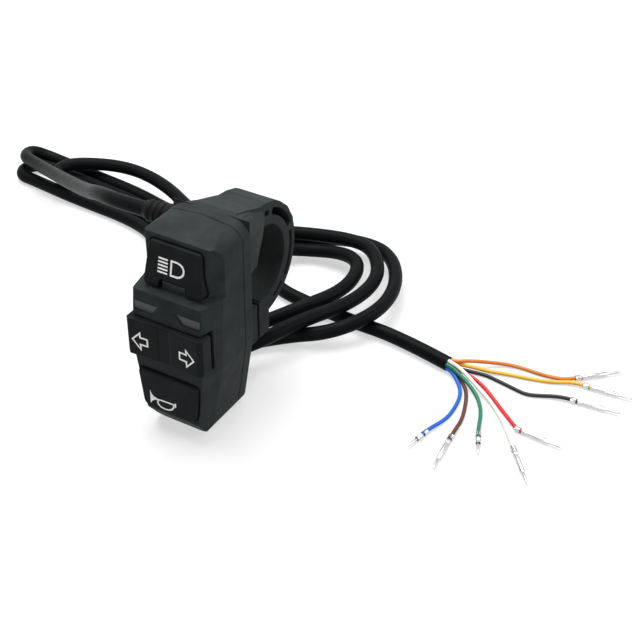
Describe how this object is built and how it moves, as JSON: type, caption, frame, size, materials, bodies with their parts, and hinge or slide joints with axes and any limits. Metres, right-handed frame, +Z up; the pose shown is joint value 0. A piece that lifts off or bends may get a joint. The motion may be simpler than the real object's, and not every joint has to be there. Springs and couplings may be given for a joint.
{
  "type": "handlebar combination switch",
  "caption": "Handlebar switch with headlight push button, three-position turn rocker, horn button, indicator windows, ribbed bar clamp and a coiled cable ending in crimped core wires.",
  "frame": {"origin": "centre of the underside of the switch without its cable, where its foot stands", "axes": "+X along the handlebar to the rider's right, -Y towards the rider, +Z up along the housing's length"},
  "size_m": [0.2348, 0.1054, 0.058],
  "materials": {
    "housing_plastic": "matte",
    "button_plastic": "satin",
    "window_clear": "clear",
    "window_smoke": "smoked",
    "steel": "zinc plated",
    "board_laminate": "satin",
    "switch_plastic": "matte",
    "plunger_plastic": "matte",
    "led_resin": "clear",
    "gland_rubber": "matte",
    "jacket": "satin",
    "tin": "tinned",
    "insulation_orange": "satin",
    "insulation_yellow": "satin",
    "insulation_black": "satin",
    "insulation_red": "satin",
    "insulation_white": "satin",
    "insulation_green": "satin",
    "insulation_brown": "satin",
    "insulation_blue": "satin"
  },
  "bodies": {
    "housing": {"front_shell": "housing_plastic", "rear_shell": "housing_plastic", "headlight_light_pipe": "window_clear", "left_indicator_lens": "window_smoke", "right_indicator_lens": "window_smoke", "rocker_pin": "steel", "circuit_board": "board_laminate", "headlight_switch_body": "switch_plastic", "turn_switch_body": "switch_plastic", "horn_switch_body": "switch_plastic", "indicator_leds": "led_resin", "shell_screws": "steel", "board_screws": "steel", "clamp_screw": "steel", "clamp_nut": "steel", "cable_gland": "gland_rubber", "cable_lead": "jacket", "cable_coil": "jacket", "cable_tail": "jacket", "crimp_terminals": "tin", "wire_orange": "insulation_orange", "wire_yellow": "insulation_yellow", "wire_black": "insulation_black", "wire_red": "insulation_red", "wire_white": "insulation_white", "wire_green": "insulation_green", "wire_brown": "insulation_brown", "wire_blue": "insulation_blue"},
    "headlight": {"headlight_button": "button_plastic", "headlight_switch_plunger": "plunger_plastic"},
    "rocker": {"turn_rocker": "button_plastic"},
    "slider": {"turn_switch_slider": "plunger_plastic"},
    "horn": {"horn_button": "button_plastic", "horn_switch_plunger": "plunger_plastic"}
  },
  "joints": [
    {"name": "headlight_press", "type": "slide", "parent": "housing", "child": "headlight", "axis": [0, 1, 0], "range_m": [0, 0.0018]},
    {"name": "turn_rocker_tilt", "type": "hinge", "parent": "housing", "child": "rocker", "pos_m": [0, -0.0215, 0.02935], "axis": [0, 0, 1], "range_deg": [-8, 8]},
    {"name": "turn_slider_shift", "type": "slide", "parent": "housing", "child": "slider", "axis": [1, 0, 0], "range_m": [-0.00095, 0.00095]},
    {"name": "horn_press", "type": "slide", "parent": "housing", "child": "horn", "axis": [0, 1, 0], "range_m": [0, 0.0016], "stiffness_N_per_m": 600, "springref_m": -0.001}
  ],
  "couplings": [
    {"joint": "turn_slider_shift", "follows": "turn_rocker_tilt", "m_per_rad": -0.0063}
  ]
}
